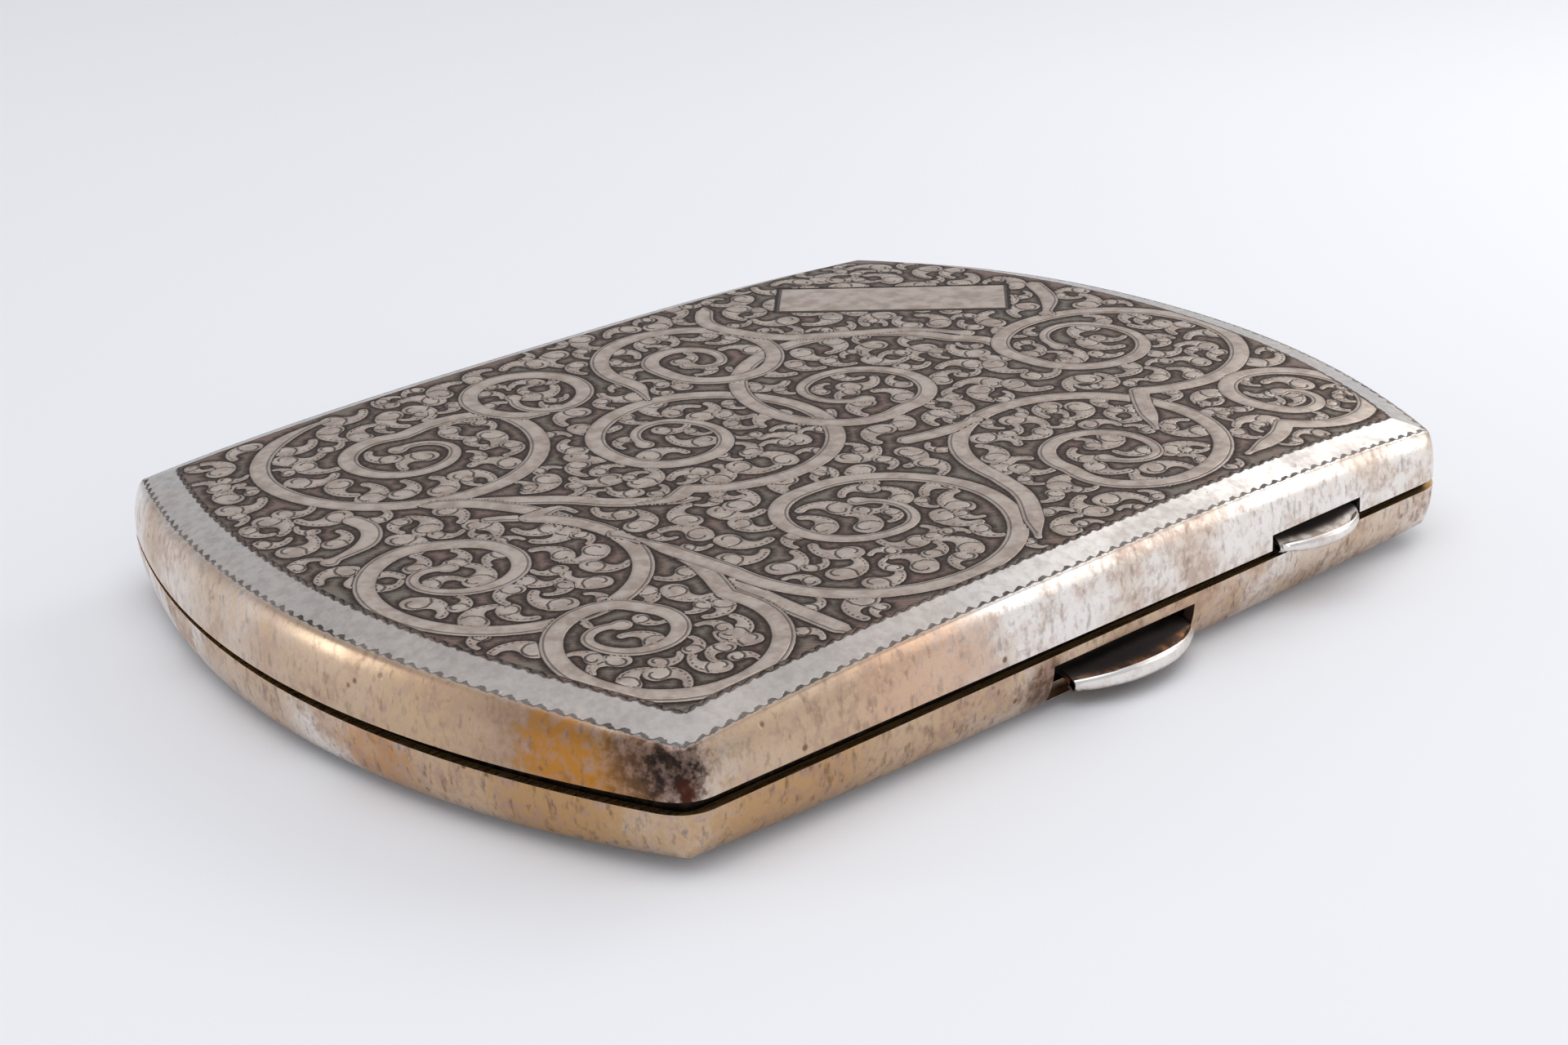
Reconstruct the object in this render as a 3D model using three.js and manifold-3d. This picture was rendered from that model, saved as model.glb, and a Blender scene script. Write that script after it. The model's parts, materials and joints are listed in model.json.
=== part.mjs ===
// Pocket business card case in sheet silver: two cushion-shaped half shells with
// bowed ends, a box hinge along the back edge, a gilt bezel that locates the lid,
// two sprung thumb catches in the front wall and a sprung bar that holds the cards.
// Millimetres, +Z up. The origin is the middle of the flat underside, +X runs along
// the long straight sides and +Y points at the hinge.
import * as THREE from "three";
import { mergeVertices } from "three/addons/utils/BufferGeometryUtils.js";
import Module from "manifold-3d";

const wasm = await Module();
wasm.setup();

// ---- Driving dimensions -------------------------------------------------------
const HALF_WIDTH = 36.6; // front wall to middle
const CORNER_X = 42.3; // corner to middle
const BOW = 8.6; // how far each end bows out past its corners
const WALL = 0.8; // sheet thickness
const SEAM_Z = 5.3; // base rim, and the base's whole depth
const BAND_IN = 1.4; // where the lid's rounded wall meets the plain band
const FIELD_IN = 4.7; // where the plain band meets the flat field
const LONG_SIDE_BAND = 0.8; // the band on the long sides is this much narrower

// Each half shell: where its rounded wall ends, its height there and at the field's edge
// (both at a corner), and the extra share of height away from the corners.
const LID_FORM = { band: BAND_IN, edge: 3.8, field: 4.42, cushion: 0.4, deepest: Infinity };
const BASE_FORM = { band: 1.8, edge: 3.8, field: 4.5, cushion: 0.2, deepest: SEAM_Z };
const CORNER_POWER = 3; // how close to the corners the shells fall away
const WALL_POWER = 2.1; // how square the rounded wall is
const CORNER_RADIUS = 2.4; // plan radius of the rim's corners

const HINGE_Y = HALF_WIDTH + 0.35;
const HINGE_Z = SEAM_Z + 0.15;
const LID_RIM = 0.3; // lid rim over base rim, at the hinge
const LID_TILT = THREE.MathUtils.degToRad(0.3); // the lid sits this far ajar
const BARREL_HALF = 32;
const BARREL_RADIUS = 1.2;
const BARREL_BORE = 0.62;
const BARREL_ROOM = 0.2; // shell cove around the barrel
const KNUCKLE_GAP = 0.2;
const KNUCKLE_ENDS = [-32, -19.4, -6.4, 6.4, 19.4, 32];
const PIN_RADIUS = 0.5;

const BEZEL_IN = 1.05;
const BEZEL_THICK = 0.5;
const BEZEL_LOW = SEAM_Z - 0.95;
const BEZEL_HIGH = SEAM_Z + 1.6;
const BEZEL_BACK = 31; // the bezel stops short of the hinge

// Thumb pieces: place along the front, lowest point, and the strip's ends.
const BASE_CATCH = {
  middle: 3, width: 13.8, proud: 2.2, low: 1.35, height: 1.6, slotFrom: -6.1, slotTo: 10.1,
  stripFrom: -14, stripTo: 20, stripLow: 2.3,
};
const LID_CATCH = {
  middle: 25.6, width: 10.2, proud: 2.0, low: SEAM_Z + 0.08, height: 1.3, slotFrom: 19.6, slotTo: 31,
  stripFrom: 15, stripTo: 38.5, stripLow: SEAM_Z + 1.1,
};
const LIP_RISE = 1.1; // the shelf rises this much from the lip to the strip
const LIP_THICK = 0.6;
const SHELF_THICK = 0.65;
const STRIP_BACK = 2.15; // strip's outer face, in from the front wall
const STRIP_THICK = 0.5;
const STRIP_HEIGHT = 2.0;
const SLOT_ROOM = 0.15;
const BRACKET_WIDTH = 2.2;

const PIVOT_Y = 27.6;
const PIVOT_Z = SEAM_Z + 1.9;
const ARM_X = 30;
const ARM_THICK = 1.3;
const BAR_Y = 14.5;
const BAR_WIDTH = 5;
const BAR_THICK = 0.6;
const BAR_Z = SEAM_Z + 1.45;

// ---- Materials ----------------------------------------------------------------
const silver = new THREE.MeshStandardMaterial({ color: 0xcfc8c0, roughness: 0.32, metalness: 1 });
const engraved = new THREE.MeshStandardMaterial({ color: 0xb3a79b, roughness: 0.45, metalness: 1 });
const gilt = new THREE.MeshStandardMaterial({ color: 0xd0ab62, roughness: 0.3, metalness: 1 });
const steel = new THREE.MeshStandardMaterial({ color: 0x8d8d90, roughness: 0.4, metalness: 1 });

// ---- Shape helpers ------------------------------------------------------------
const endX = (y) => CORNER_X + BOW * (1 - (y / HALF_WIDTH) ** 2);

// Past the sheet's own thickness, insets shrink along the long sides.
const longInset = (inset) => (inset < WALL ? inset : WALL + (inset - WALL) * LONG_SIDE_BAND);

// Closed plan outline, anticlockwise, a given distance inside the rim.
function outline(inset, radius, steps = 12) {
  const cornerY = HALF_WIDTH - longInset(inset);
  const cornerX = endX(cornerY) - inset;
  const side = (from, to) =>
    Array.from({ length: steps + 1 }, (_, i) => THREE.MathUtils.lerp(from, to, i / steps));
  const straight = side(-(cornerX - radius), cornerX - radius);
  const bowed = side(-(cornerY - radius), cornerY - radius);
  const sides = [
    straight.map((x) => [x, -cornerY]),
    bowed.map((y) => [endX(y) - inset, y]),
    straight.map((x) => [-x, cornerY]),
    bowed.map((y) => [inset - endX(y), -y]),
  ];
  const corners = [[cornerX, -cornerY], [cornerX, cornerY], [-cornerX, cornerY], [-cornerX, -cornerY]];
  return sides.flatMap((points, i) => {
    const before = points[points.length - 1];
    const after = sides[(i + 1) % 4][0];
    const rounded = [0, 1].map((k) => (before[k] + 2 * corners[i][k] + after[k]) / 4);
    return [...points, rounded];
  });
}

// Height of the pressed sheet over its rim, before the cushion swell.
function pressed(inset, { band, edge, field }) {
  if (inset <= 0) return 0;
  if (inset < band) {
    return edge * (1 - (1 - inset / band) ** WALL_POWER) ** (1 / WALL_POWER);
  }
  return THREE.MathUtils.lerp(edge, field, Math.min(1, (inset - band) / (FIELD_IN - band)));
}

const swell = (x, y, share) =>
  1 + share * (1 - Math.abs((x / endX(y)) * (y / HALF_WIDTH)) ** CORNER_POWER);

// Closed body through a list of equal 3-D loops, capped flat at both ends.
function loft(loops, flatten, inward = false) {
  const count = loops[0].length;
  const faces = [];
  for (let i = 0; i + 1 < loops.length; i++) {
    for (let j = 0; j < count; j++) {
      const k = (j + 1) % count;
      const [a, b, c, d] = [i * count + j, (i + 1) * count + j, (i + 1) * count + k, i * count + k];
      faces.push([a, b, c], [a, c, d]);
    }
  }
  const cap = (loop, start, reverse) => {
    const flat = loop.map((p) => new THREE.Vector2(...flatten(p)));
    const back = THREE.ShapeUtils.area(flat) < 0;
    for (const [a, b, c] of THREE.ShapeUtils.triangulateShape(flat, [])) {
      faces.push(reverse === back ? [start + a, start + b, start + c] : [start + a, start + c, start + b]);
    }
  };
  cap(loops[0], 0, false);
  cap(loops[loops.length - 1], (loops.length - 1) * count, true);
  const geometry = new THREE.BufferGeometry();
  geometry.setAttribute("position", new THREE.Float32BufferAttribute(loops.flat(2), 3));
  geometry.setIndex(faces.flatMap(([a, b, c]) => (inward ? [a, c, b] : [a, b, c])));
  return geometry;
}

function toSolid(geometry) {
  const bare = geometry.clone();
  bare.deleteAttribute("normal");
  bare.deleteAttribute("uv");
  const merged = mergeVertices(bare, 1e-4);
  const vertProperties = new Float32Array(merged.attributes.position.array);
  const triVerts = new Uint32Array(merged.index.array);
  return new wasm.Manifold(new wasm.Mesh({ numProp: 3, vertProperties, triVerts }));
}

function fromSolid(solid) {
  const { vertProperties, triVerts } = solid.getMesh();
  const geometry = new THREE.BufferGeometry();
  geometry.setAttribute("position", new THREE.BufferAttribute(vertProperties, 3));
  geometry.setIndex(new THREE.BufferAttribute(triVerts, 1));
  return geometry;
}

const cut = (geometry, ...tools) =>
  fromSolid(tools.reduce((solid, tool) => solid.subtract(toSolid(tool)), toSolid(geometry)));

// Box between two corners.
function block([x0, y0, z0], [x1, y1, z1]) {
  const geometry = new THREE.BoxGeometry(x1 - x0, y1 - y0, z1 - z0);
  return geometry.translate((x0 + x1) / 2, (y0 + y1) / 2, (z0 + z1) / 2);
}

// Round rod along X, or a tube when it has a bore.
function rod(from, to, radius, bore = 0, facets = 20) {
  const profile = [[bore, 0], [radius, 0], [radius, to - from], [bore, to - from]];
  if (bore > 0) profile.push(profile[0]);
  const points = profile.map(([r, h]) => new THREE.Vector2(r, h));
  return new THREE.LatheGeometry(points, facets).rotateZ(-Math.PI / 2).translate(from, 0, 0);
}

// Plate cut from an outline in the YZ plane, with its thickness along X.
function plate(shape, from, thickness) {
  const geometry = new THREE.ExtrudeGeometry(shape, { depth: thickness, bevelEnabled: false, curveSegments: 8 });
  return geometry.rotateZ(Math.PI / 2).rotateY(Math.PI / 2).translate(from, 0, 0);
}

// ---- Half shells --------------------------------------------------------------
const ringRadius = (inset) => Math.max(0.3, CORNER_RADIUS * (1 - inset / BAND_IN));

// One half shell: the outer skin from the middle out to the rim, then the inner skin back.
function cushionShell(form, place, inward) {
  const skin = (inset, thickness) => {
    const rise = Math.max(0, pressed(inset - thickness, form) - thickness);
    return outline(inset, ringRadius(inset)).map(([x, y]) => {
      const height = Math.min(rise * swell(x, y, form.cushion), form.deepest - thickness);
      return [x, y, place(height)];
    });
  };
  const outer = [26, 16, 9, FIELD_IN, 3, form.band, 0.9, 0.5, 0.2, 0.05, 0];
  const inner = [0.02, 0.1, 0.3, 0.8, form.band, FIELD_IN - WALL, 8, 15, 25].map((inset) => inset + WALL);
  const loops = [...outer.map((inset) => skin(inset, 0)), ...inner.map((inset) => skin(inset, WALL))];
  return loft(loops, ([x, y]) => [x, y], inward);
}

// The cove that the hinge barrel lies in.
const barrelCove = (y, z) => rod(-BARREL_HALF - 1.2, BARREL_HALF + 1.2, BARREL_RADIUS + BARREL_ROOM).translate(0, y, z);

// Window in the front wall for one thumb piece.
const slot = (c, low, high) =>
  block([c.slotFrom, -HALF_WIDTH - 1, low], [c.slotTo, -HALF_WIDTH + BEZEL_IN + BEZEL_THICK + 0.3, high]);

const baseShell = () =>
  cut(
    cushionShell(BASE_FORM, (height) => SEAM_Z - height, true),
    barrelCove(HINGE_Y, HINGE_Z),
    slot(BASE_CATCH, BASE_CATCH.low - SLOT_ROOM, SEAM_Z - 0.9),
  );

// The lid's own frame has its rim at z = 0; these turn heights at the front wall into it.
const LID_RIM_FRONT = SEAM_Z + LID_RIM + Math.sin(LID_TILT) * 2 * HALF_WIDTH;
const LID_LIP = LID_CATCH.low - LID_RIM_FRONT;
const LID_STRIP = LID_CATCH.stripLow - LID_RIM_FRONT;

const lidShell = () =>
  cut(
    cushionShell(LID_FORM, (height) => height, false),
    barrelCove(HINGE_Y, HINGE_Z - SEAM_Z - LID_RIM),
    slot(LID_CATCH, -1, LID_LIP + LIP_RISE + SHELF_THICK + 0.2),
  );

// Strip inside the base's front and end walls that stands up into the lid.
function bezelRing() {
  const toShape = (inset) => outline(inset, 1.2).map(([x, y]) => new THREE.Vector2(x, y));
  const ring = new THREE.Shape(toShape(BEZEL_IN));
  ring.holes.push(new THREE.Path(toShape(BEZEL_IN + BEZEL_THICK)));
  const depth = BEZEL_HIGH - BEZEL_LOW;
  const strip = new THREE.ExtrudeGeometry(ring, { depth, bevelEnabled: false }).translate(0, 0, BEZEL_LOW);
  return cut(
    strip,
    block([-60, BEZEL_BACK, 0], [60, 60, 20]),
    slot(LID_CATCH, LID_CATCH.low - 0.4, 20),
  );
}

// ---- Thumb catches ------------------------------------------------------------
// J-section lip: crescent in plan, flush with the wall at both ends.
function thumbPiece(c, low) {
  const stations = 12;
  const loops = Array.from({ length: stations + 1 }, (_, i) => {
    const across = (2 * i) / stations - 1;
    const x = c.middle + (across * c.width) / 2;
    const tip = -HALF_WIDTH - 0.3 - c.proud * (1 - across ** 2);
    const root = -HALF_WIDTH + STRIP_BACK - 0.15;
    const throat = -HALF_WIDTH + 0.6;
    return [
      [root, low + LIP_RISE],
      [root, low + LIP_RISE + SHELF_THICK],
      [throat, low + 0.4 + SHELF_THICK],
      [tip + LIP_THICK, low + 0.3 + SHELF_THICK],
      [tip + LIP_THICK - 0.05, low + c.height - 0.15],
      [tip + 0.3, low + c.height],
      [tip, low + c.height - 0.3],
      [tip, low + 0.4],
      [tip + 0.4, low],
      [throat, low + 0.4],
    ].map(([y, z]) => [x, y, z]);
  });
  return loft(loops, ([, y, z]) => [y, z], true);
}

// Flat spring strip behind the thumb piece.
const catchStrip = (c, low) =>
  block(
    [c.stripFrom, -HALF_WIDTH + STRIP_BACK, low],
    [c.stripTo, -HALF_WIDTH + STRIP_BACK + STRIP_THICK, low + STRIP_HEIGHT],
  );

// Guide lug just past one end of the strip.
function catchBracket(x, side, low) {
  const near = x + side * 0.2;
  const far = near + side * BRACKET_WIDTH;
  return block(
    [Math.min(near, far), -HALF_WIDTH + STRIP_BACK - 0.3, low - 0.1],
    [Math.max(near, far), -HALF_WIDTH + STRIP_BACK + 1.5, low + STRIP_HEIGHT + 0.1],
  );
}

// ---- Hinge --------------------------------------------------------------------
function knuckle(index) {
  const from = KNUCKLE_ENDS[index] + KNUCKLE_GAP / 2;
  const to = KNUCKLE_ENDS[index + 1] - KNUCKLE_GAP / 2;
  return rod(from, to, BARREL_RADIUS, BARREL_BORE);
}

// Bearer strip that stiffens the back wall behind the barrel.
const bearer = (low, high) =>
  block([-BARREL_HALF, HALF_WIDTH - 2.3, low], [BARREL_HALF, HALF_WIDTH - 1.75, high]);

// Domed cap that closes one end of the barrel.
function pinCap(side) {
  const profile = [[0, 0], [BARREL_RADIUS, 0], [BARREL_RADIUS, 0.25], [0.85, 0.55], [0, 0.7]];
  const points = profile.map(([r, h]) => new THREE.Vector2(r, h));
  const cap = new THREE.LatheGeometry(points, 20).rotateZ(-Math.PI / 2).translate(BARREL_HALF + 0.1, 0, 0);
  return side > 0 ? cap : cap.rotateZ(Math.PI);
}

// ---- Card bar -----------------------------------------------------------------
// Arm in its own pivot's frame: an eye at the pivot and a leaf forward to the bar.
function retainerArm(from) {
  const reach = PIVOT_Y - BAR_Y + BAR_WIDTH / 2;
  const shape = new THREE.Shape();
  shape.absarc(0, 0, 1.1, -0.78 * Math.PI, 0.83 * Math.PI, false);
  shape.lineTo(-3, BAR_Z + BAR_THICK - PIVOT_Z);
  shape.lineTo(-reach, BAR_Z + BAR_THICK - PIVOT_Z);
  shape.lineTo(-reach, BAR_Z - PIVOT_Z);
  shape.lineTo(-1.05, BAR_Z - PIVOT_Z);
  const eye = new THREE.Path();
  eye.absarc(0, 0, BARREL_BORE, 0, 2 * Math.PI, true);
  shape.holes.push(eye);
  return plate(shape, from, ARM_THICK);
}

const retainerBar = () =>
  block(
    [-ARM_X + 0.1, BAR_Y - BAR_WIDTH / 2, BAR_Z],
    [ARM_X - 0.1, BAR_Y + BAR_WIDTH / 2, BAR_Z + BAR_THICK],
  );

// Upright lug soldered to the base's floor, with the pivot's hole near its top.
function retainerBracket(from, thickness) {
  const foot = WALL + 0.5 - PIVOT_Z;
  const shape = new THREE.Shape();
  shape.moveTo(-1.7, foot);
  shape.lineTo(1.7, foot);
  shape.lineTo(1.2, 0);
  shape.absarc(0, 0, 1.2, 0, Math.PI, false);
  const hole = new THREE.Path();
  hole.absarc(0, 0, BARREL_BORE, 0, 2 * Math.PI, true);
  shape.holes.push(hole);
  return plate(shape, from, thickness);
}

// ---- Assembly -----------------------------------------------------------------
function piece(name, geometry, material, position = [0, 0, 0]) {
  const mesh = new THREE.Mesh(geometry, material);
  mesh.name = name;
  mesh.position.set(...position);
  return mesh;
}

const part = new THREE.Group();
const hingeAt = [0, HINGE_Y, HINGE_Z];
const pivotAt = [0, PIVOT_Y, PIVOT_Z];

// The lid hangs on the hinge axis, a little ajar; its own frame starts at its rim.
const lidGroup = new THREE.Group();
lidGroup.position.set(...hingeAt);
lidGroup.rotation.x = -LID_TILT;
const lidFrame = new THREE.Group();
lidFrame.position.set(0, -HINGE_Y, SEAM_Z + LID_RIM - HINGE_Z);
lidGroup.add(lidFrame);
const lidHingeAt = [0, HINGE_Y, HINGE_Z - SEAM_Z - LID_RIM];

part.add(
  piece("base_shell", baseShell(), silver),
  piece("base_bezel", bezelRing(), gilt),
  piece("base_hinge_bearer", bearer(2.4, 4.5), silver),
  piece("hinge_pin", rod(-BARREL_HALF, BARREL_HALF, PIN_RADIUS), steel, hingeAt),
  piece("pin_cap_left", pinCap(-1), silver, hingeAt),
  piece("pin_cap_right", pinCap(1), silver, hingeAt),
  piece("base_catch_strip", catchStrip(BASE_CATCH, BASE_CATCH.stripLow), steel),
  piece("base_thumbpiece", thumbPiece(BASE_CATCH, BASE_CATCH.low), silver),
  piece("base_catch_lug_left", catchBracket(BASE_CATCH.stripFrom, -1, BASE_CATCH.stripLow), gilt),
  piece("base_catch_lug_right", catchBracket(BASE_CATCH.stripTo, 1, BASE_CATCH.stripLow), gilt),
  piece("retainer_bar", retainerBar(), gilt),
);
[0, 2, 4].forEach((index, i) => part.add(piece(`base_knuckle_${i + 1}`, knuckle(index), silver, hingeAt)));

for (const [name, side] of [["left", -1], ["right", 1]]) {
  // Pieces of one pivot, from the middle outwards: spring, arm, lug, with the pin through all three.
  const span = (near, far) => (side > 0 ? [near, far] : [-far, -near]);
  const [springFrom, springTo] = span(ARM_X - 2.8, ARM_X - 0.3);
  const [armFrom] = span(ARM_X, ARM_X + ARM_THICK);
  const [lugFrom] = span(ARM_X + 1.6, ARM_X + 3.2);
  const [pinFrom, pinTo] = span(ARM_X - 3, ARM_X + 3.4);
  part.add(
    piece(`retainer_spring_${name}`, rod(springFrom, springTo, 1.0, 0.66), steel, pivotAt),
    piece(`retainer_arm_${name}`, retainerArm(armFrom), gilt, pivotAt),
    piece(`retainer_lug_${name}`, retainerBracket(lugFrom, 1.6), gilt, pivotAt),
    piece(`retainer_pin_${name}`, rod(pinFrom, pinTo, PIN_RADIUS), steel, pivotAt),
  );
}

lidFrame.add(
  piece("lid_shell", lidShell(), engraved),
  piece("lid_hinge_bearer", bearer(1.1, 3.2), silver),
  piece("lid_catch_strip", catchStrip(LID_CATCH, LID_STRIP), steel),
  piece("lid_thumbpiece", thumbPiece(LID_CATCH, LID_LIP), silver),
  piece("lid_catch_lug_left", catchBracket(LID_CATCH.stripFrom, -1, LID_STRIP), gilt),
  piece("lid_catch_lug_right", catchBracket(LID_CATCH.stripTo, 1, LID_STRIP), gilt),
);
[1, 3].forEach((index, i) => lidFrame.add(piece(`lid_knuckle_${i + 1}`, knuckle(index), silver, lidHingeAt)));
part.add(lidGroup);

export default part;
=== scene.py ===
"""Looks of a silver business card case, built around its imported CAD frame.

Lengths are millimetres while a mesh is worked out, and become metres when it is made.
"""

import json
import math

import bpy
import numpy as np
from mathutils import Matrix, Vector


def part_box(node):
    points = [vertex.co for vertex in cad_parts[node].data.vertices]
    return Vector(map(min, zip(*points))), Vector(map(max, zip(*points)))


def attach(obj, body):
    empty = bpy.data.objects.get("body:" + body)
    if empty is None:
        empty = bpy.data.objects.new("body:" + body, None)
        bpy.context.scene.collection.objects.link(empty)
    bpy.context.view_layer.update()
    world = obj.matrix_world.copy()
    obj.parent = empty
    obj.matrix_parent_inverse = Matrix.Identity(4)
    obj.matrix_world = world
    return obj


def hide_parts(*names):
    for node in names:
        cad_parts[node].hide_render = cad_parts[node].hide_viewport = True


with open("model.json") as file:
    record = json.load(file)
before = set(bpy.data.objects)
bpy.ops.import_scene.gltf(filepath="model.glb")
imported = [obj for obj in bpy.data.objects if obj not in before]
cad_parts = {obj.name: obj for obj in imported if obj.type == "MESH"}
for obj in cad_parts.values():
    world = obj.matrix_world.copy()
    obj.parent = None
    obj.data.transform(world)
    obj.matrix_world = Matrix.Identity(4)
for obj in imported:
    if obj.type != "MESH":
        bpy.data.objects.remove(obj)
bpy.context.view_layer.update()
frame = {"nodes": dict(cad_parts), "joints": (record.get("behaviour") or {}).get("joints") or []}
JOINTS = {joint["name"]: joint for joint in frame["joints"]}
MM = 0.001


def cad_box(node):
    """Lowest and highest corner of a CAD node, in millimetres."""
    low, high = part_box(node)
    return low / MM, high / MM


# ---- Driving dimensions, as in the CAD source ---------------------------------
HALF_WIDTH = cad_box("base_shell")[1].y
END_X = cad_box("base_shell")[1].x
SEAM_Z = cad_box("base_shell")[1].z
BOW = 8.6  # how far each end bows out past its corners
CORNER_X = END_X - BOW
WALL = 0.8  # sheet thickness
BAND_IN = 1.4  # where the lid's rounded wall meets the plain band
FIELD_IN = 4.7  # where the band meets the engraved field
LONG_SIDE_BAND = 0.8  # the band's width on the long sides, over its width at the ends
WALL_POWER = 2.1  # how square the rounded wall is
CORNER_POWER = 3  # how close to the corners the shells fall away
CORNER_RADIUS = 2.4
# Each half: where its wall ends, its height there and at the field, and its cushion.
LID = {"band": BAND_IN, "edge": 3.8, "field": 4.42, "cushion": 0.4, "deepest": math.inf}
BASE = {"band": 1.8, "edge": 3.8, "field": 4.5, "cushion": 0.2, "deepest": SEAM_Z}
LID_RIM = 0.3  # lid rim over base rim, at the hinge
LID_TILT = math.radians(0.3)  # the lid sits this far ajar
HINGE_Y = JOINTS["lid_hinge"]["pos_m"][1] / MM
HINGE_Z = JOINTS["lid_hinge"]["pos_m"][2] / MM
BARREL_RADIUS = 1.2
COVE_RADIUS = 1.4
COVE_HALF = 33.2
KNUCKLE_BORE = 0.62
KNUCKLE_EASE = 0.12
PIVOT_Y = JOINTS["retainer_lift"]["pos_m"][1] / MM
PIVOT_Z = JOINTS["retainer_lift"]["pos_m"][2] / MM

END_STRETCH = 1.03  # length of a bowed end over its width
GRID_PITCH = 0.19
COARSE = 4  # the lining's grid is this many times coarser than the outer skin's


# ---- Shape of the pressed half shells -----------------------------------------
def end_x(y):
    """Half length of the case at a given distance from its middle line."""
    return CORNER_X + BOW * (1 - (y / HALF_WIDTH) ** 2)


def long_inset(inset):
    """An inset as it measures on the long sides, where the band is narrower."""
    return inset if inset < WALL else WALL + (inset - WALL) * LONG_SIDE_BAND


def pressed(inset, form):
    """Height of the sheet over its rim, before the cushion swell."""
    if inset <= 0:
        return 0.0
    band = form["band"]
    if inset < band:
        return form["edge"] * (1 - (1 - inset / band) ** WALL_POWER) ** (1 / WALL_POWER)
    share = min(1.0, (inset - band) / (FIELD_IN - band))
    return form["edge"] + (form["field"] - form["edge"]) * share


def swell(x, y, form):
    """Share of height that the cushion adds, fading to none at the corners."""
    return 1 + form["cushion"] * (1 - np.abs(x / end_x(y) * y / HALF_WIDTH) ** CORNER_POWER)


def smooth(share):
    """Soft step from 0 to 1."""
    share = np.clip(share, 0, 1)
    return share * share * (3 - 2 * share)


def ring(inset, u, v):
    """Closed plan outline at an inset: front, right end, back and left end, anticlockwise."""
    radius = max(0.05, CORNER_RADIUS * (1 - inset / BAND_IN))
    corner_y = HALF_WIDTH - long_inset(inset)
    corner_x = end_x(corner_y) - inset

    def rounded(share):
        first = (corner_x - radius, corner_y)
        last = (end_x(corner_y - radius) - inset, corner_y - radius)
        weights = ((1 - share) ** 2, 2 * share * (1 - share), share**2)
        points = (first, (corner_x, corner_y), last)
        return [sum(w * p[axis] for w, p in zip(weights, points)) for axis in (0, 1)]

    along = np.abs(u) * corner_x
    round_x, round_y = rounded(np.clip((along - corner_x + radius) / radius, 0, 1) / 2)
    straight = along < corner_x - radius
    long_x = np.sign(u) * np.where(straight, along, round_x)
    long_y = np.where(straight, corner_y, round_y)
    up = np.abs(v) * corner_y
    round_x, round_y = rounded(1 - np.clip((up - corner_y + radius) / radius, 0, 1) / 2)
    bowed = up < corner_y - radius
    short_x = np.where(bowed, end_x(up) - inset, round_x)
    short_y = np.sign(v) * np.where(bowed, up, round_y)
    sides = [
        np.column_stack((long_x, -long_y))[:-1],
        np.column_stack((short_x, short_y))[:-1],
        np.column_stack((-long_x, long_y))[:-1],
        np.column_stack((-short_x, -short_y))[:-1],
    ]
    return np.vstack(sides)


# ---- Engraving ----------------------------------------------------------------
# A stroke is a line of points with a half width at each. A plate keeps, for each of its
# points, the signed distance to the strokes' edges, the way along the stroke, and the
# distance to the finest cuts.
class Plate:
    FAR = 3.0

    def __init__(self, points, margin=0.9):
        self.points = points
        self.margin = margin
        self.edge = np.full(len(points), self.FAR)
        self.stitch = np.full(len(points), -1.0)
        self.rail = np.zeros(len(points))
        self.cut = np.full(len(points), self.FAR)

    def measure(self, points, half):
        """Indices near a stroke, with signed distance, way along and side for each."""
        gap = np.full(len(self.points), self.FAR)
        way = np.zeros(len(self.points))
        side = np.zeros(len(self.points))
        steps = np.hypot(*np.diff(points, axis=0).T)
        lengths = np.concatenate(([0], np.cumsum(steps)))
        chunk = 10
        for start in range(0, len(points) - 1, chunk):
            stop = min(start + chunk, len(points) - 1)
            low = points[start : stop + 1].min(0) - half.max() - self.margin
            high = points[start : stop + 1].max(0) + half.max() + self.margin
            near = np.flatnonzero(((self.points > low) & (self.points < high)).all(1))
            for i in range(start, stop):
                across = points[i + 1] - points[i]
                length = max(steps[i], 1e-6)
                offset = self.points[near] - points[i]
                share = np.clip(offset @ across / length**2, 0, 1)
                away = np.hypot(*(offset - share[:, None] * across).T)
                away = away - half[i] - share * (half[i + 1] - half[i])
                better = away < gap[near]
                gap[near[better]] = away[better]
                way[near[better]] = (lengths[i] + share * length)[better]
                side[near[better]] = (across[0] * offset[:, 1] - across[1] * offset[:, 0])[better]
        touched = np.flatnonzero(gap < self.margin)
        return touched, gap[touched], way[touched], side[touched]

    def lay(self, points, half, kind):
        """Adds a lobe or a scroll over the strokes before it, or a fine cut."""
        touched, gap, way, side = self.measure(np.asarray(points, float), np.asarray(half, float))
        if kind == "cut":
            self.cut[touched] = np.minimum(self.cut[touched], np.maximum(gap, 0))
            return
        over = (gap < 0.1) | (gap < self.edge[touched])
        covered = touched[over]
        self.cut[touched[gap < 0.05]] = self.FAR
        self.edge[covered] = gap[over]
        if kind == "scroll":
            self.rail[covered] = side[over] > 0
            self.stitch[covered] = -1
        else:
            self.rail[covered] = 0
            self.stitch[covered] = np.where(side[over] * kind > 0, -1, way[over])


def spline(knots, step=0.6):
    """Smooth line through a few points."""
    knots = np.asarray(knots, float)
    padded = np.vstack((2 * knots[0] - knots[1], knots, 2 * knots[-1] - knots[-2]))
    line = []
    for a, b, c, d in zip(padded, padded[1:], padded[2:], padded[3:]):
        count = max(2, int(np.hypot(*(c - b)) / step))
        t = np.linspace(0, 1, count, endpoint=False)[:, None]
        square = a - 2.5 * b + 2 * c - d / 2
        cube = 1.5 * (b - c) + (d - a) / 2
        line.append(b + t * (c - a) / 2 + t**2 * square + t**3 * cube)
    return np.vstack(line + [knots[-1:]])


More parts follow.
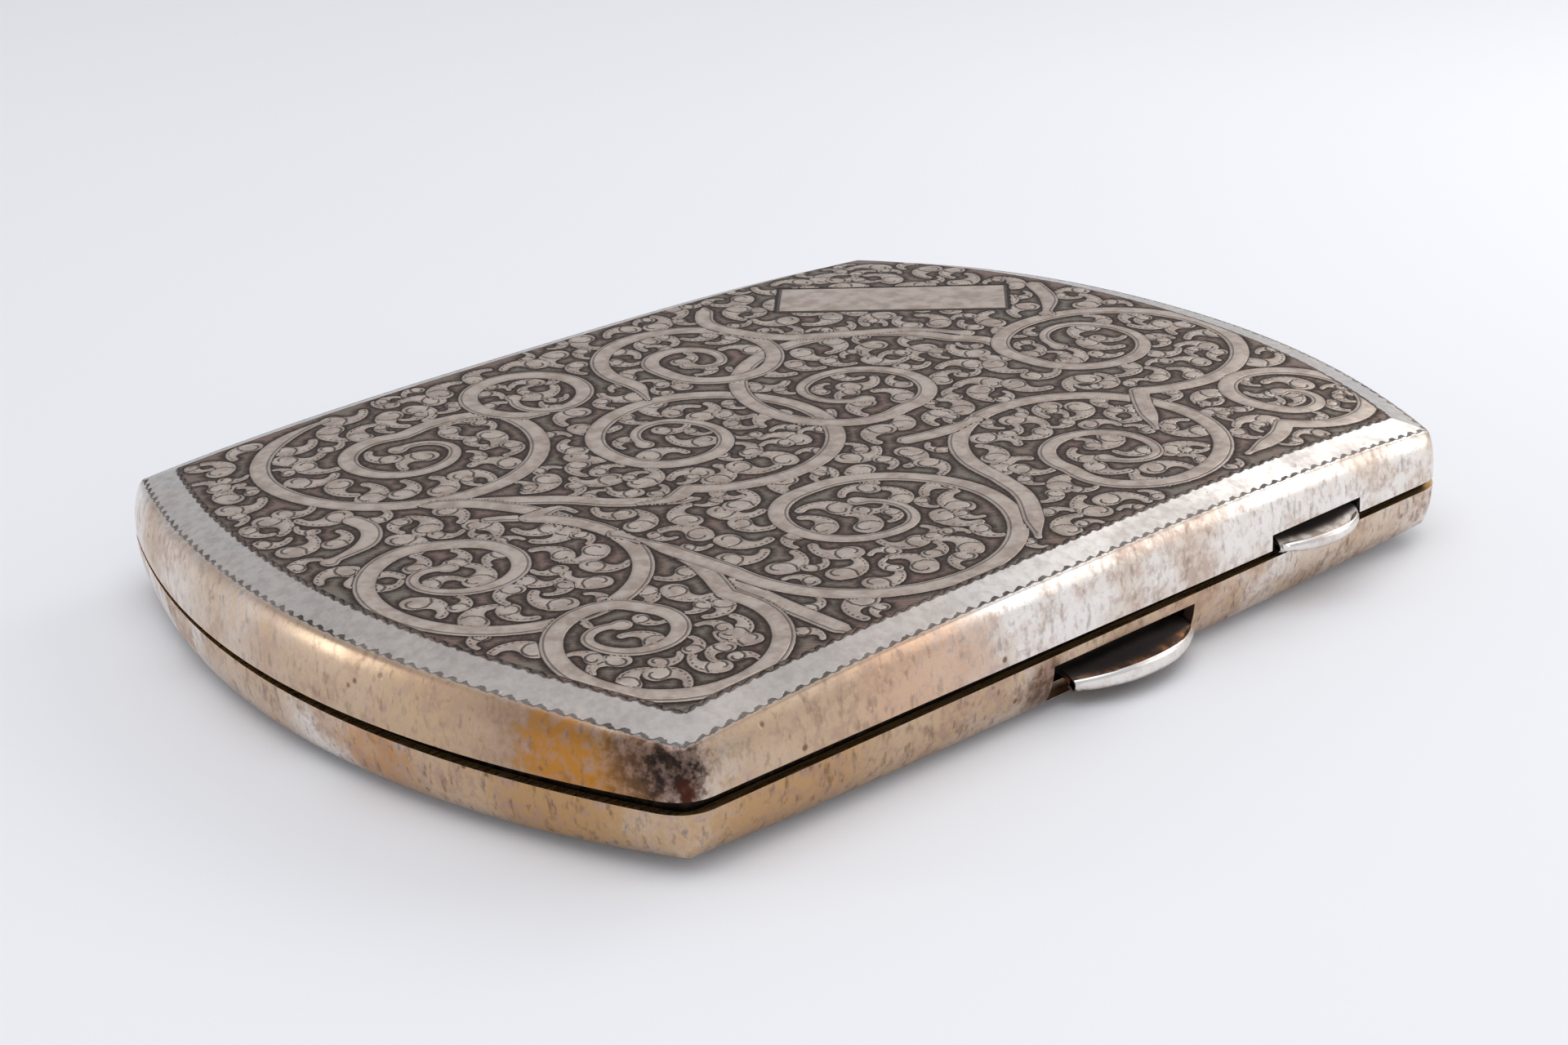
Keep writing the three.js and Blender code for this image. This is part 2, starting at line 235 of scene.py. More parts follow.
def winding(keys):
    """Line that winds round a centre; each key is an angle, a centre and a radius."""
    line = []
    for (a0, x0, y0, r0), (a1, x1, y1, r1) in zip(keys, keys[1:]):
        count = max(4, int(abs(a1 - a0) / 6))
        share = np.linspace(0, 1, count, endpoint=False)
        ease = smooth(share)
        angle = np.radians(a0 + (a1 - a0) * share)
        radius = r0 + (r1 - r0) * ease
        x = x0 + (x1 - x0) * ease + radius * np.cos(angle)
        y = y0 + (y1 - y0) * ease + radius * np.sin(angle)
        line.append(np.column_stack((x, y)))
    return np.vstack(line)


# Angle in degrees, centre and radius in millimetres; a stem leads in where there is one.
SCROLLS = [
    {"stem": [(-15, -6), (-20, -2), (-23, 2), (-30, 8.3), (-35, 12.4)],
     "keys": []},
    {"stem": [],
     "keys": [(88, -25.8, 19.8, 11.7), (360, -25.8, 19.8, 11.7), (420, -25.9, 19.4, 4.6),
         (690, -25.9, 19.4, 4.4), (800, -25.9, 19.2, 1.6)]},
    {"stem": [(-19, -3.5), (-16.5, -4.5)],
     "keys": [(222, -6, 3.6, 11), (420, -6, 3.6, 11), (540, -8.6, 5.6, 5.2), (760, -8.6, 5.6, 5),
         (880, -8.6, 5.6, 1.8)]},
    {"stem": [(-31.4, 8.9), (-28.5, 6.6), (-26.6, 3.4), (-25.4, 0.4)],
     "keys": [(18, -34.8, -6.5, 10.4), (60, -34.8, -6.5, 10.6), (18, -34.8, -6.5, 10.6)]},
    {"stem": [(-23.6, -1), (-24, 0.6)],
     "keys": [(42, -34.8, -6.5, 10.6), (-200, -34.8, -6.5, 10.6), (-300, -36.8, -3.6, 4.9),
         (-520, -36.8, -3.6, 4.4), (-640, -37.4, -4.4, 1.5)]},
    {"stem": [(-23.7, -33), (-24, -26), (-23.8, -20), (-23.5, -12), (-24.2, -7)],
     "keys": []},
    {"stem": [(-23.8, -14), (-24, -17.5)],
     "keys": [(18, -33.6, -24.3, 8.4), (-225, -33.6, -24.3, 8.3), (-330, -34.6, -21.3, 3.8),
         (-540, -34.6, -21.3, 3.5), (-640, -34.6, -21.6, 1.3)]},
    {"stem": [(-23.6, -9), (-23, -15)],
     "keys": [(176, -10.3, -19.8, 12.3), (350, -10.3, -19.8, 12.3), (450, -8.4, -16.8, 5.8),
         (640, -8.4, -16.8, 5.4), (760, -8.4, -16.8, 2.2)]},
    {"stem": [(-2, -31), (3, -25), (4.6, -21)],
     "keys": [(172, 16, -20, 11), (-90, 16, -20, 11), (-180, 15, -22.5, 4.8),
         (-400, 15, -22.5, 4.4), (-500, 15, -22.3, 1.5)]},
    {"stem": [(27, 1), (28.6, 4)],
     "keys": [(15, 14.5, 4, 12.6), (180, 14.5, 4, 12.3), (270, 11.5, 2.8, 5.8),
         (480, 11.5, 2.8, 5.4), (600, 11.4, 2.6, 2)]},
    {"stem": [(22, -22), (25.5, -17.5)],
     "keys": [(232, 34.8, -6, 11.2), (450, 34.8, -6, 11), (540, 33.6, -2.6, 6.3),
         (760, 33.6, -2.6, 5.6), (880, 33.6, -2.8, 2)]},
    {"stem": [],
     "keys": [(250, -9.5, 23.5, 5.4), (-80, -9.5, 23.5, 5), (-200, -9.2, 23.3, 1.8)]},
    {"stem": [(-3, 14.8), (-1.6, 18)],
     "keys": [(180, 6.4, 20.5, 8), (-60, 6.4, 20.5, 8), (-180, 6, 19.8, 3.6), (-400, 6, 19.8, 3),
         (-500, 6, 19.8, 1.2)]},
    {"stem": [(23, -31), (28, -30)],
     "keys": [(215, 36.4, -24.6, 6.8), (430, 36.2, -24.8, 6.4), (560, 36, -25, 3),
         (800, 36, -25, 1.6)]},
    {"stem": [(-37, 11), (-37, 8), (-39, 5.6), (-43, 4.6)],
     "keys": []},
    {"stem": [(17, 30.5), (14, 26), (16, 19), (21, 15), (26, 11.5), (28.8, 7)],
     "keys": []},
    {"stem": [(44, 13), (41.5, 8.5), (38, 5.4)],
     "keys": []},
    {"stem": [(5, -8.6), (9, -9.5), (13, -9.4)],
     "keys": []},
]
BAND_HALF = 0.88  # half width of a scroll's band
WIDEST_GAP = 2.8  # half widths of the gaps between strokes that a lobe fills
SMALLEST_GAP = 0.8
MOST_LOBES = 500
CARTOUCHE = {"centre": (31.4, 19.5), "length": 22.0, "width": 7.5, "turn": math.radians(-44.5)}
FIELD_Y = HALF_WIDTH - long_inset(FIELD_IN)


def scroll_line(scroll):
    """A scroll's stem and the turns that it winds into."""
    parts = [winding(scroll["keys"])] if scroll["keys"] else []
    if scroll["stem"]:
        lead = list(scroll["stem"]) + [tuple(p) for part in parts for p in part[:1]]
        parts.insert(0, spline(lead))
    return np.vstack(parts)


def scroll_width(line):
    """Full band, thinning at the free end and swelling into a small eye."""
    share = np.linspace(0, 1, len(line))
    width = BAND_HALF * (1 - 0.45 * smooth((share - 0.55) / 0.4))
    width *= 0.35 + 0.65 * smooth(share / 0.05)
    return width + 0.35 * np.exp(-(((share - 1) / 0.02) ** 2))


def leaf(at, turn, size, hand):
    """Comma-shaped lobe centred on a place: a plump round head and a curved tail."""
    sweep = np.linspace(0, 2.25, 10)
    bend = 0.78 * size
    x = bend * np.sin(sweep)
    y = bend * (1 - np.cos(sweep)) * hand
    x, y = x - x.mean(), y - y.mean()
    c, s = math.cos(turn), math.sin(turn)
    line = np.column_stack((x * c - y * s, x * s + y * c)) + np.asarray(at)
    share = np.linspace(0, 1, len(sweep))
    half = size * (0.50 - 0.30 * smooth(share / 0.9))
    return {"line": line, "half": half, "hand": hand, "size": size}


def leaf_cuts(lobe):
    """Fine cut on a lobe: the curl in its head."""
    head = lobe["line"][0]
    ahead = lobe["line"][1] - head
    facing = math.atan2(ahead[1], ahead[0])
    turns = np.linspace(-0.15, 1.35, 9) * math.pi * lobe["hand"]
    reach = lobe["size"] * np.linspace(0.62, 0.17, 9)
    curl = np.column_stack((np.cos(facing + turns), np.sin(facing + turns))) * reach[:, None]
    return head + curl


def ring_leaves(scroll):
    """Lobes that grow inwards from a scroll's outer turn."""
    if not scroll["keys"]:
        return []
    first, second, third = scroll["keys"][0], scroll["keys"][1], scroll["keys"][2]
    hand = 1 if second[0] > first[0] else -1
    outer, inner = second[3], third[3]
    leaves = []
    gap = outer - inner
    if gap < 3.2:
        return []
    count = max(4, int(math.radians(300) * (outer + inner) / 2 / 5.0))
    for i in range(count):
        angle = math.radians(second[0] + hand * (20 + 320 * i / count))
        toward = Vector((third[1] - second[1], third[2] - second[2]))
        middle = (outer + inner) / 2 + toward.dot((math.cos(angle), math.sin(angle))) / 2
        at = (second[1] + middle * math.cos(angle), second[2] + middle * math.sin(angle))
        leaves.append(leaf(at, angle + hand * math.radians(100 + 35 * (i % 2)), min(2.3, gap * 0.42), hand))
    return leaves


def fill_leaves(strokes):
    """Lobes in whatever gaps the strokes leave, biggest gap first."""
    step = 0.7
    ys, xs = np.mgrid[-FIELD_Y + 0.8 : FIELD_Y - 0.7 : step, -END_X + 5 : END_X - 5 : step]
    spots = np.column_stack((xs.ravel(), ys.ravel()))
    spots = spots[np.abs(spots[:, 0]) < end_x(spots[:, 1]) - FIELD_IN - 0.9]
    scratch = Plate(spots, WIDEST_GAP)
    for line, half, kind in strokes:
        scratch.lay(line, half, kind)
    border = np.minimum(FIELD_Y - np.abs(spots[:, 1]), end_x(spots[:, 1]) - FIELD_IN - np.abs(spots[:, 0]))
    leaves = []
    for i in range(MOST_LOBES):
        room = np.minimum(scratch.edge, border)
        best = int(np.argmax(room))
        if room[best] < SMALLEST_GAP:
            break
        x, y = spots[best]
        turn = math.sin(1.7 * i) * 2.4 + 0.05 * x - 0.07 * y
        lobe = leaf((x, y), turn, min(2.3, 1.1 * room[best] + 0.35), 1 if i % 3 else -1)
        scratch.lay(lobe["line"], lobe["half"], lobe["hand"])
        scratch.edge[best] = -1
        leaves.append(lobe)
    return leaves


def engrave(plate, blank):
    """Cuts the whole design into a plate."""
    scrolls = [(line, scroll_width(line), "scroll") for line in map(scroll_line, SCROLLS)]
    lobes = [lobe for scroll in SCROLLS for lobe in ring_leaves(scroll)]
    taken = scrolls + [(lobe["line"], lobe["half"], lobe["hand"]) for lobe in lobes]
    lobes += fill_leaves(taken)
    for lobe in lobes:
        plate.lay(lobe["line"], lobe["half"], lobe["hand"])
        curl = leaf_cuts(lobe)
        plate.lay(curl, np.full(len(curl), 0.02), "cut")
    for stroke in scrolls:
        plate.lay(*stroke)
    if blank:
        lay_cartouche(plate)


def lay_cartouche(plate):
    """Plain tablet that lies over the scrolls, left blank."""
    c, s = math.cos(CARTOUCHE["turn"]), math.sin(CARTOUCHE["turn"])
    offset = plate.points - np.asarray(CARTOUCHE["centre"])
    across = np.abs(offset @ np.array((c, s))) - CARTOUCHE["length"] / 2
    up = np.abs(offset @ np.array((-s, c))) - CARTOUCHE["width"] / 2
    gap = np.maximum(across, up)
    over = gap < 0.35
    plate.edge[over] = np.where(gap[over] < 0.1, gap[over], 0.1)
    plate.stitch[over] = -1
    plate.rail[over] = 0
    plate.cut[over] = np.maximum(np.abs(gap[over] + 0.1) - 0.08, 0)


# ---- Mesh making --------------------------------------------------------------
def add_object(name, data):
    thing = bpy.data.objects.new(name, data)
    bpy.context.scene.collection.objects.link(thing)
    return thing


def new_mesh(name, points, faces, attributes=None, slots=None):
    """Mesh object from millimetre points, smooth except at hard corners."""
    mesh = bpy.data.meshes.new(name)
    mesh.from_pydata((np.asarray(points) * MM).tolist(), [], faces)
    mesh.validate()
    for key, values in (attributes or {}).items():
        layer = mesh.attributes.new(key, "FLOAT", "POINT")
        layer.data.foreach_set("value", np.asarray(values, np.float32))
    if slots is not None:
        mesh.polygons.foreach_set("material_index", slots)
    mesh.shade_smooth()
    mesh.set_sharp_from_angle(angle=math.radians(38))
    return add_object(name, mesh)


def finish_piece(thing, body, nodes, slot, *materials):
    """Gives a new piece its materials and body, and hides the CAD nodes it replaces. The slot argument is
    not used.
    """
    for material in materials:
        thing.data.materials.append(material)
    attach(thing, body)
    if nodes:
        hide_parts(*nodes)
    return thing


def bake_modifiers(thing):
    """Keeps what the modifiers make as the mesh itself."""
    graph = bpy.context.evaluated_depsgraph_get()
    mesh = bpy.data.meshes.new_from_object(thing.evaluated_get(graph))
    thing.modifiers.clear()
    thing.data = mesh


def grid_faces(rows, columns, start=0):
    """Quads of a grid whose points run row by row."""
    corner = start + np.arange((rows - 1) * columns).reshape(rows - 1, columns)[:, :-1]
    quads = np.stack((corner, corner + 1, corner + columns + 1, corner + columns), -1)
    return quads.reshape(-1, 4).tolist()


def loop_faces(loops, closed=True):
    """Quads between loops of the same length; each loop is a run of point numbers."""
    faces = []
    for first, second in zip(loops, loops[1:]):
        first, second = np.asarray(first), np.asarray(second)
        if len(first) == len(second):
            quads = np.stack((first, np.roll(first, -1), np.roll(second, -1), second), -1)
            faces += (quads if closed else quads[:-1]).tolist()
            continue
        wide, narrow = first.reshape(-1, 2), second
        after, beyond = np.roll(narrow, -1), np.roll(wide[:, 0], -1)
        faces += np.stack((wide[:, 0], wide[:, 1], narrow), -1).tolist()
        faces += np.stack((wide[:, 1], after, narrow), -1).tolist()
        faces += np.stack((wide[:, 1], beyond, after), -1).tolist()
    return faces


# ---- Half shells --------------------------------------------------------------
RIM_ROLL = [(0.0, 0.12), (-0.015, 0.3), (0.0, 0.55)]  # height and inset across the rim
LINING = -1  # inset written on points that are not on the outer skin
LINING_STEPS = (0.0, 0.03, 0.1, 0.22, 0.4, 0.7)  # rings close behind the wall
LINING_INSETS = (3.6, 4.4, 5.2)
LINING_FLAT_IN = 6.0  # inset where the lining's rings give way to a grid


def skin_insets(form):
    """Insets of the outer skin's rings: even over the band, then closing on the rim."""
    step = 0.15
    flat = np.arange(FIELD_IN - 0.12, form["band"], -step)
    turns = np.linspace(0, math.pi / 2, 26)
    wall = form["band"] * (1 - np.sin(turns)) ** 1.3
    return list(flat) + list(wall)


def half_skin(form, to_frame, design, *materials):
    """One half shell as a closed mesh: engraved outer skin, rolled rim and plain lining.

    Both halves carry the scrolls; only the lid has the blank tablet.
    """
    columns = 2 * COARSE * round(END_X / GRID_PITCH / COARSE)
    rows = 2 * COARSE * round(FIELD_Y / GRID_PITCH / COARSE)
    u = np.linspace(-1, 1, columns + 1)
    v = np.linspace(-1, 1, rows + 1)
    grid_y = np.repeat(v * FIELD_Y, columns + 1)
    grid_x = np.tile(u, rows + 1) * (end_x(grid_y) - FIELD_IN)
    plate = Plate(np.column_stack((grid_x, grid_y)))
    engrave(plate, design["cartouche"])
    count = len(plate.points)
    relief = engraved_relief(plate)
    top = np.minimum(pressed(FIELD_IN, form) * swell(grid_x, grid_y, form), form["deepest"]) + relief
    points = [np.column_stack((grid_x, grid_y, top))]
    numbers = np.arange(count).reshape(rows + 1, columns + 1)
    edge_loop = np.concatenate((numbers[0, :-1], numbers[:-1, -1], numbers[-1, :0:-1], numbers[:0:-1, 0]))
    faces = grid_faces(rows + 1, columns + 1)
    loops = [edge_loop]
    values = {"edge": [plate.edge], "stitch": [plate.stitch], "rail": [plate.rail], "cut": [plate.cut],
              "inset": [np.full(count, FIELD_IN)], "around": [np.zeros(count)]}

    def add_ring(plan, height, inset, around):
        nonlocal count
        points.append(np.column_stack((plan, height)))
        loops.append(np.arange(count, count + len(plan)))
        count += len(plan)
        for key, fill in (("edge", 0.5), ("stitch", -1), ("rail", 0), ("cut", Plate.FAR), ("inset", inset)):
            values[key].append(np.full(len(plan), fill))
        values["around"].append(around)

    for inset in skin_insets(form):
        plan = ring(inset, u, v)
        height = pressed(inset, form) * swell(plan[:, 0], plan[:, 1], form)
        height = np.minimum(height, form["deepest"])
        add_ring(plan, height, inset, way_around(plan))
    outer_faces = loop_faces(loops)
    loops[:] = loops[-1:]
    for height, inset in RIM_ROLL:
        plan = ring(inset, u, v)
        add_ring(plan, np.full(len(plan), height), LINING, way_around(plan))

    def add_lining(insets):
        for inset in insets:
            plan = ring(inset, u, v)
            add_ring(plan, lining_height(plan, inset, form), LINING, way_around(plan))

    add_lining(WALL + step for step in LINING_STEPS)
    for coarser in (1, 2):
        u, v = u[::2], v[::2]
        add_lining(WALL + 0.9 * coarser + step for step in (0, 0.45))
    add_lining(LINING_INSETS)
    inner_y = HALF_WIDTH - long_inset(LINING_FLAT_IN)
    y = np.repeat(v * inner_y, len(u))
    x = np.tile(u, len(v)) * (end_x(y) - LINING_FLAT_IN)
    start = count
    plan = np.column_stack((x, y))
    add_ring(plan, lining_height(plan, LINING_FLAT_IN, form), LINING, np.zeros(len(plan)))
    numbers = np.arange(start, count).reshape(len(v), len(u))
    loops[-1] = np.concatenate((numbers[0, :-1], numbers[:-1, -1], numbers[-1, :0:-1], numbers[:0:-1, 0]))
    lining_faces = loop_faces(loops)
    lining_faces += grid_faces(len(v), len(u), start)
    slots = [0] * (len(faces) + len(outer_faces)) + [1] * len(lining_faces)
    local = np.vstack(points)
    local = press_cove(local, design)
    local = spring_corner(local, design["sprung"])
    attributes = {key: np.concatenate(parts) for key, parts in values.items()}
    attributes["edge"] = np.clip(attributes["edge"], -2, 2)
    every = faces + [face[::-1] for face in outer_faces] + [face[::-1] for face in lining_faces]
    if design["flip"]:
        every = [face[::-1] for face in every]
    skin = new_mesh(design["name"], to_frame(local), every, attributes, slots)
    for material in materials:
        skin.data.materials.append(material)
    return skin


def lining_height(plan, inset, form):
    """Height of the inner face, one sheet thickness inside the outer one."""
    rise = max(0.0, pressed(inset - WALL, form) - WALL)
    return np.minimum(rise * swell(plan[:, 0], plan[:, 1], form), form["deepest"] - WALL)


def way_around(plan):
    """Distance along the rim, counted from the middle of each side."""
    x, y = plan[:, 0], plan[:, 1]
    nearer_end = np.abs(np.abs(x) - end_x(y)) < HALF_WIDTH - np.abs(y)
    return np.where(nearer_end, y * END_STRETCH, x)


def engraved_relief(plate):
    """Height of the engraved field over the flat sheet."""
    ground = -0.045 * smooth((plate.edge + 0.08) / 0.26)
    crown = 0.03 * smooth(-plate.edge / 0.9)
    groove = -0.035 * np.exp(-((plate.edge - 0.05) / 0.12) ** 2)
    veins = -0.035 * np.exp(-((plate.cut / 0.13) ** 2))
    return ground + crown + groove + veins


def press_cove(local, design):
    """Sinks the back wall around the hinge barrel."""
    axis_z = design["axis_z"]
    up = local[:, 2] - axis_z
    behind = local[:, 1] > HALF_WIDTH - 2.4
    inside = behind & (np.abs(local[:, 0]) < COVE_HALF) & (np.abs(up) < COVE_RADIUS)
    reach = HINGE_Y - np.sqrt(np.clip(COVE_RADIUS**2 - up**2, 0, None))
    lining = local[:, 1] < HALF_WIDTH - WALL + 0.05
    limit = np.where(lining, np.minimum(reach - 0.4, local[:, 1]), reach)
    local[inside, 1] = np.minimum(local[inside, 1], limit[inside])
    return local


def spring_corner(local, amount):
    """Lifts the rim towards the front left corner, where the lid no longer closes fully."""
    leftward = smooth((26 - local[:, 0]) / 68)
    forward = smooth((24 - local[:, 1]) / 60)
    low = np.clip(1 - local[:, 2] / 3.2, 0, 1) ** 1.5
    local[:, 2] += amount * leftward * forward * low
    return local


def lid_to_frame(local):
    """From the lid's own frame, with its rim at zero, to the row frame."""
    local = np.asarray(local, float)
    y = local[:, 1] - HINGE_Y
    z = local[:, 2] + SEAM_Z + LID_RIM - HINGE_Z
    c, s = math.cos(-LID_TILT), math.sin(-LID_TILT)
    return np.column_stack((local[:, 0], HINGE_Y + c * y - s * z, HINGE_Z + s * y + c * z))


def base_to_frame(local):
    """From the base's own frame, upside down with its rim at zero, to the row frame."""
    local = np.asarray(local, float)
    return np.column_stack((local[:, 0], local[:, 1], SEAM_Z - local[:, 2]))


def cut_window(thing, low, high, to_frame):
    """Pierces a thumb piece's window through one half shell's front wall."""
    corners = [(x, y, z) for x in (low[0], high[0]) for y in (low[1], high[1]) for z in (low[2], high[2])]
    sides = [(0, 1, 3, 2), (4, 6, 7, 5), (0, 4, 5, 1), (2, 3, 7, 6), (0, 2, 6, 4), (1, 5, 7, 3)]
    cutter = new_mesh("cutter", to_frame(corners), sides)
    chop = thing.modifiers.new("window", "BOOLEAN")
    chop.solver = "MANIFOLD"
    chop.operation = "DIFFERENCE"
    chop.object = cutter
    bake_modifiers(thing)
    bpy.data.objects.remove(cutter)
    thing.data.set_sharp_from_angle(angle=math.radians(38))


# ---- Materials ----------------------------------------------------------------
class Graph:
    """A material's node tree, built one node a call."""

    def __init__(self, name):
        self.material = bpy.data.materials.new(name)
        self.material.use_nodes = True
        self.tree = self.material.node_tree
        self.tree.nodes.clear()
        coordinates = self.add("TexCoord").outputs["Object"]
        self.place = self.scaled(coordinates, 1 / MM)

    def add(self, kind, inputs=None, **settings):
        node = self.tree.nodes.new("ShaderNode" + kind)
        for name, value in settings.items():
            setattr(node, name, value)
        for socket, value in (inputs or {}).items():
            self.feed(node.inputs[socket], value)
        return node

    def feed(self, socket, value):
        if isinstance(value, bpy.types.NodeSocket):
            self.tree.links.new(value, socket)
        elif socket.type == "RGBA" and len(value) == 3:
            socket.default_value = (*value, 1)
        else:
            socket.default_value = value

    def scaled(self, vector, factor):
        factors = factor if isinstance(factor, tuple) else (factor,) * 3
        return self.add("VectorMath", {0: vector, 1: factors}, operation="MULTIPLY").outputs[0]

    def math(self, operation, *values):
        return self.add("Math", dict(enumerate(values)), operation=operation).outputs[0]

    def ease(self, value, low, high, to_low=0.0, to_high=1.0):
        """Smooth step from low to high; low may be the larger one."""
        if low > high:
            low, high, to_low, to_high = high, low, to_high, to_low
        inputs = {0: value, 1: low, 2: high, 3: to_low, 4: to_high}
        return self.add("MapRange", inputs, interpolation_type="SMOOTHSTEP").outputs[0]

    def noise(self, scale, detail=3.0, rough=0.55, place=None):
        inputs = {"Vector": place or self.place, "Scale": scale, "Detail": detail, "Roughness": rough}
        return self.add("TexNoise", inputs).outputs[0]

    def blend(self, share, first, second, kind="MIX"):
        node = self.add("Mix", data_type="RGBA", blend_type=kind, clamp_factor=True)
        self.feed(node.inputs[0], share)
        self.feed(node.inputs[6], first)
        self.feed(node.inputs[7], second)
        return node.outputs[2]

    def attribute(self, name):
        return self.add("Attribute", attribute_name=name).outputs["Fac"]

    def times(self, first, second):
        return self.math("MULTIPLY", first, second)

    def plus(self, first, second):
        return self.math("ADD", first, second)

    def either(self, first, second):
        return self.math("MAXIMUM", first, second)

    def bump(self, height, distance):
        """Height in millimetres, times the distance."""
        return self.add("Bump", {"Strength": 1.0, "Distance": distance * MM, "Height": height}).outputs[0]

    def metal(self, colour, roughness, normal, metallic=1.0):
        inputs = {"Base Color": colour, "Roughness": roughness, "Metallic": metallic, "Normal": normal}
        shader = self.add("BsdfPrincipled", inputs)
        output = self.add("OutputMaterial")
        self.tree.links.new(shader.outputs[0], output.inputs["Surface"])
        return self.material


SILVER = (0.88, 0.84, 0.80)
CHAMPAGNE = (0.56, 0.39, 0.245)
AMBER = (0.50, 0.215, 0.035)
UMBER = (0.13, 0.07, 0.04)
PLUM = (0.42, 0.27, 0.22)
# Near-black used only for painted dark: a painted reflection at the lid's near corner and painted shade
# deep in the thumb-piece scoops.
PAINTED_DARK = (0.03, 0.022, 0.02)
BAND_TONES = ((0.66, 0.63, 0.60), (0.52, 0.48, 0.45))
# The last ground tone is painted shade, laid on the ground beside the strokes.
GROUND_AND_SHADE_TONES = ((0.26, 0.165, 0.135), (0.235, 0.215, 0.175), (0.42, 0.33, 0.28), (0.075, 0.05, 0.038))
# The last scroll tone is painted shade towards the edges of scrolls and lobes.
SCROLL_AND_SHADE_TONES = ((0.70, 0.60, 0.515), (0.50, 0.40, 0.335), (0.36, 0.28, 0.235))
CUT_TONE = (0.04, 0.03, 0.026)

# Tarnished places, and on the lid a painted dark reflection at the near corner: centre and radius in
# millimetres, colour, strength.
LID_STAINS_AND_DARK_REFLECTION = [
    ((-50.0, -8.0, 7.5), 15.0, CHAMPAGNE, 0.85),
    ((-47.5, -20.0, 7.2), 10.0, CHAMPAGNE, 0.85),
    ((-30.0, -36.5, 8.4), 15.0, CHAMPAGNE, 0.85),
    ((-44.6, -29.0, 9.3), 9.0, (0.27, 0.17, 0.11), 0.75),
    ((-20.0, -36.5, 7.6), 7.0, (0.68, 0.44, 0.30), 0.7),
    ((-46.4, -27.5, 7.9), 4.0, AMBER, 0.9),
    ((-44.6, -32.0, 6.6), 3.4, AMBER, 0.8),
    # Painted dark reflection on the wall at the near corner, in umber, near-black and dark red.
    ((-43.6, -34.0, 8.6), 3.6, UMBER, 0.95),
    ((-42.8, -35.8, 8.7), 2.7, PAINTED_DARK, 1.0),
    ((-42.4, -37.0, 6.9), 1.7, (0.07, 0.02, 0.012), 0.9),
    ((-50.5, 12.0, 7.6), 6.0, CHAMPAGNE, 0.6),
    ((-45.8, 27.0, 7.6), 4.0, CHAMPAGNE, 0.6),
]
BASE_STAINS = [
    ((-46.0, -24.0, 3.0), 17.0, CHAMPAGNE, 0.9),
    ((-28.0, -36.5, 3.4), 20.0, CHAMPAGNE, 0.9),
    ((2.0, -36.5, 3.0), 15.0, CHAMPAGNE, 0.8),
    ((30.0, -36.5, 3.0), 9.0, CHAMPAGNE, 0.6),
    ((-33.0, -36.6, 3.6), 8.0, (0.50, 0.29, 0.12), 0.7),
    ((-46.8, -27.0, 3.8), 6.0, (0.50, 0.29, 0.12), 0.8),
    ((-50.0, 6.0, 3.6), 8.0, CHAMPAGNE, 0.8),
    ((-49.5, -10.0, 4.2), 4.5, AMBER, 0.6),
    ((-6.8, -36.6, 3.0), 2.4, UMBER, 0.95),
]


def lay_stains_and_reflections(graph, colour, stains_and_reflections, grain):
    """Lays patches with ragged edges over a colour: tarnish, and painted dark reflections where the list
    holds them.
    """
    for centre, radius, stain_and_painted_dark, strength in stains_and_reflections:
        away = graph.add("VectorMath", {0: graph.place, 1: centre}, operation="DISTANCE").outputs["Value"]
        ragged = graph.math("MULTIPLY_ADD", grain, radius * 1.5, away)
        share = graph.ease(ragged, radius * 2.35, radius * 1.45, 0.0, strength)
        colour = graph.blend(share, colour, stain_and_painted_dark)
    return colour


def silver_tone(graph, stains_and_reflections, warmth):
    """Old silver: warm mottling, short upright streaks, pits and laid patches of tarnish, with a painted
    dark reflection among them on the lid.
    """
    clouds = graph.noise(0.16, 4.0, 0.6)
    grain = graph.noise(1.1, 5.0, 0.66)
    streaks = graph.noise(1.5, 4.0, 0.62, graph.scaled(graph.place, (1.0, 1.0, 0.45)))
    colour = graph.blend(graph.ease(clouds, 0.40, 0.64, 0.1 * warmth, warmth), SILVER, CHAMPAGNE)
    ragged = graph.plus(graph.times(grain, 0.9), graph.times(streaks, 0.5))
    colour = lay_stains_and_reflections(graph, colour, stains_and_reflections, ragged)
    blotch = graph.ease(graph.plus(grain, graph.times(clouds, 0.5)), 0.70, 0.90, 0.0, 0.65)
    colour = graph.blend(graph.times(blotch, min(1.0, warmth + 0.2)), colour, PLUM)
    fleck = graph.ease(streaks, 0.50, 0.70, 0.0, 0.6)
    colour = graph.blend(graph.times(fleck, min(1.0, warmth + 0.15)), colour, UMBER)
    cells = graph.add("TexVoronoi", {"Vector": graph.place, "Scale": 0.36, "Randomness": 1.0})
    pits = cells.outputs["Distance"]
    pitted = graph.times(graph.ease(pits, 0.13, 0.05), graph.ease(clouds, 0.44, 0.56))
    colour = graph.blend(graph.times(pitted, 0.85), colour, UMBER)
    return colour, clouds, grain, pitted


def silver_finish(graph, clouds, grain, pitted):
    """Roughness and bump that go with the tone."""
    rough = graph.ease(clouds, 0.35, 0.7, 0.20, 0.36)
    rough = graph.math("MULTIPLY_ADD", grain, 0.12, rough)
    scratches = graph.noise(3.2, 2.0, 0.5, graph.scaled(graph.place, (0.25, 1.6, 1.6)))
    height = graph.math("MULTIPLY_ADD", grain, 0.6, graph.times(scratches, 0.25))
    height = graph.math("SUBTRACT", height, graph.times(pitted, 1.5))
    return rough, height


def plain_silver(name, stains_and_reflections, warmth):
    graph = Graph(name)
    colour, clouds, grain, pitted = silver_tone(graph, stains_and_reflections, warmth)
    rough, height = silver_finish(graph, clouds, grain, pitted)
    return graph.metal(colour, rough, graph.bump(height, 0.02))


